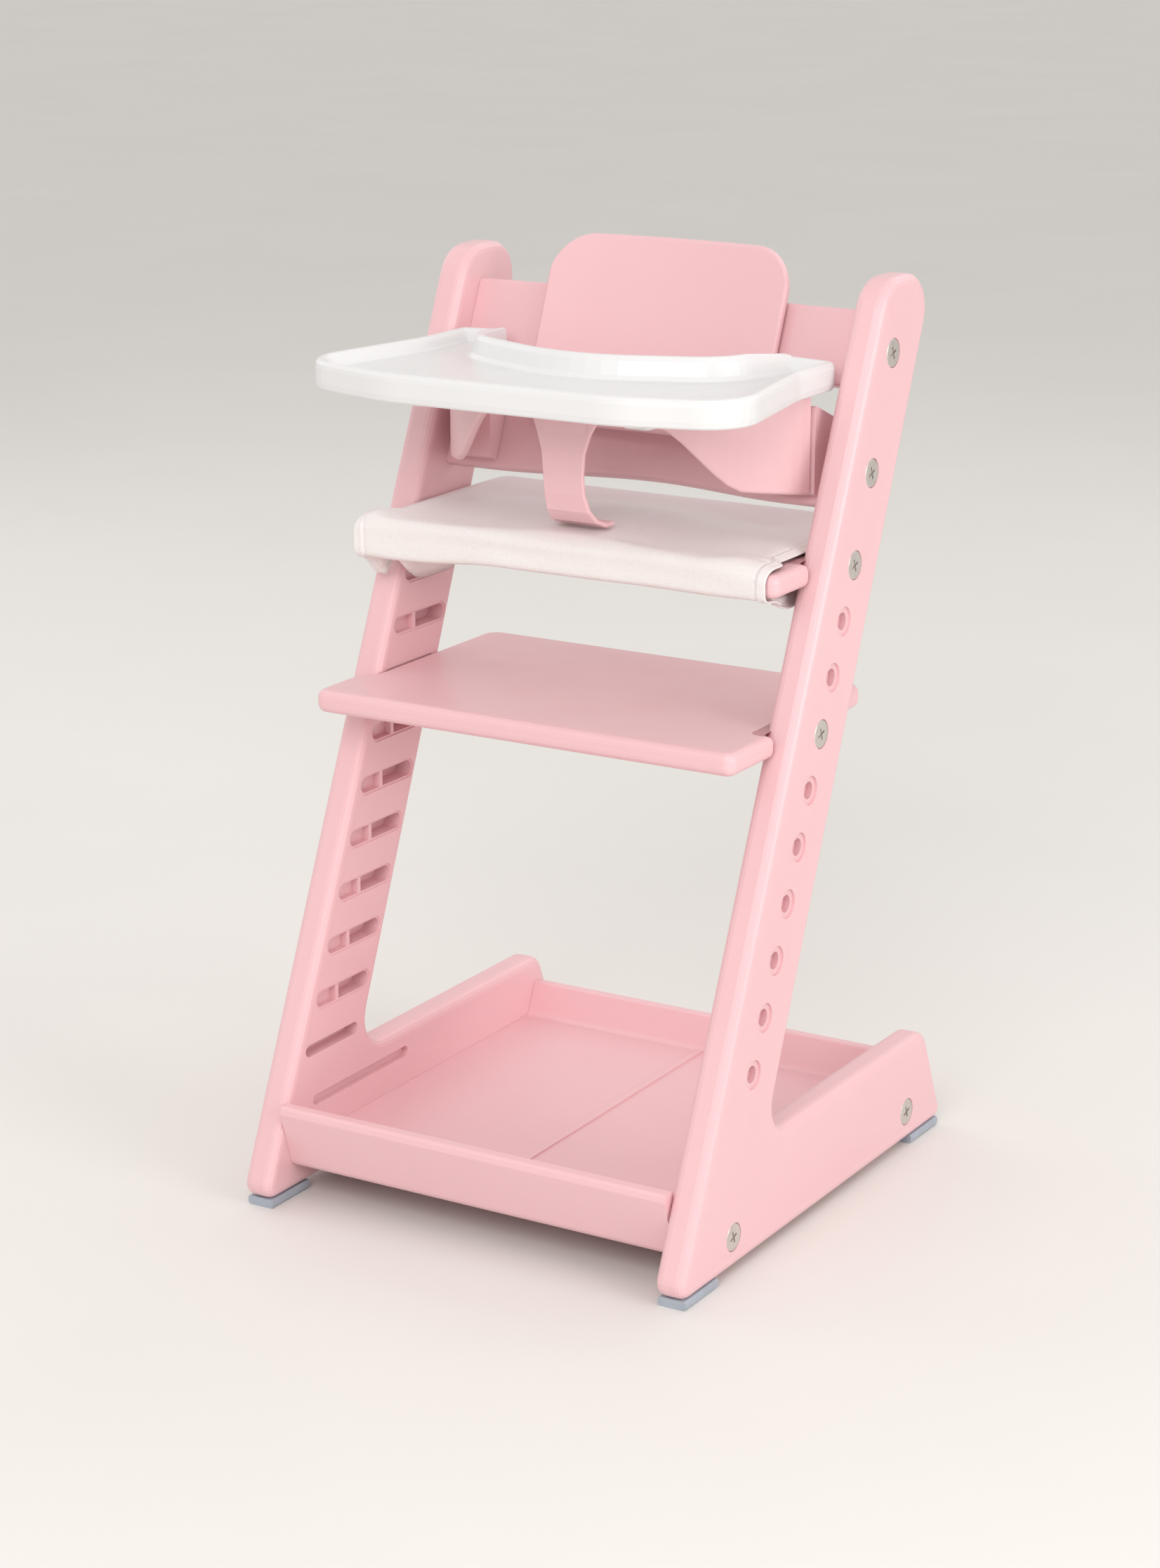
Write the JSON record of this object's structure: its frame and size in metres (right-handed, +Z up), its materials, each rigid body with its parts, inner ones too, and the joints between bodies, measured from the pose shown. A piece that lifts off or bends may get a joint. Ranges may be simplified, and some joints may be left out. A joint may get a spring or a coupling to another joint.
{
  "type": "growing high chair",
  "caption": "Child's high chair of two leaning moulded side panels with bolted seat, footrest and floor tray, curved backrest, front guard with crotch strap and slide-on play tray.",
  "frame": {"origin": "centre of the bounding box's underside, on the floor between the feet", "axes": "+Z up, the chair faces -Y, +X to the right of a viewer who looks along +Y"},
  "size_m": [0.44, 0.4876, 0.8155],
  "materials": {
    "pink_plastic": "satin moulded plastic, pale pink",
    "seat_leatherette": "smooth off-white leatherette over thin foam",
    "bolt_steel": "satin nickel plated steel",
    "tray_plastic": "semi-gloss white moulded plastic",
    "foot_rubber": "matt blue-grey rubber",
    "insert_brass": "plain turned brass"
  },
  "bodies": {
    "frame": {"side_panel_right": "pink_plastic", "side_panel_left": "pink_plastic", "base_tray": "pink_plastic", "footrest_board": "pink_plastic", "seat_board": "pink_plastic", "back_rail_upper": "pink_plastic", "back_rail_lower": "pink_plastic", "seat_cover": "seat_leatherette", "seat_bolts": "bolt_steel", "footrest_bolts": "bolt_steel", "upper_rail_bolts": "bolt_steel", "lower_rail_bolts": "bolt_steel", "base_bolts": "bolt_steel", "foot_front_right": "foot_rubber", "foot_front_left": "foot_rubber", "foot_rear_right": "foot_rubber", "foot_rear_left": "foot_rubber", "board_inserts": "insert_brass", "rail_inserts": "insert_brass", "base_inserts": "insert_brass"},
    "backrest": {"backrest_panel": "pink_plastic", "backrest_hooks": "pink_plastic"},
    "guard": {"guard_rail": "pink_plastic", "guard_clip_right": "pink_plastic", "guard_clip_left": "pink_plastic", "crotch_strap": "pink_plastic", "strap_rivets": "bolt_steel"},
    "tray": {"play_tray": "tray_plastic"},
    "latch_right": {"tray_latch_right": "tray_plastic"},
    "latch_left": {"tray_latch_left": "tray_plastic"}
  },
  "joints": [
    {"name": "guard_lift", "type": "slide", "parent": "frame", "child": "guard", "axis": [0, 0.388, 0.9217], "range_m": [0, 0.02]},
    {"name": "backrest_lift", "type": "slide", "parent": "frame", "child": "backrest", "axis": [0, 0.388, 0.9217], "range_m": [0, 0.026]},
    {"name": "tray_slide", "type": "slide", "parent": "guard", "child": "tray", "axis": [0, -1, 0], "range_m": [0, 0.15]},
    {"name": "latch_right_pull", "type": "slide", "parent": "tray", "child": "latch_right", "axis": [0, -1, 0], "range_m": [0, 0.005], "stiffness_N_per_m": 300},
    {"name": "latch_left_pull", "type": "slide", "parent": "tray", "child": "latch_left", "axis": [0, -1, 0], "range_m": [0, 0.005], "stiffness_N_per_m": 300}
  ]
}
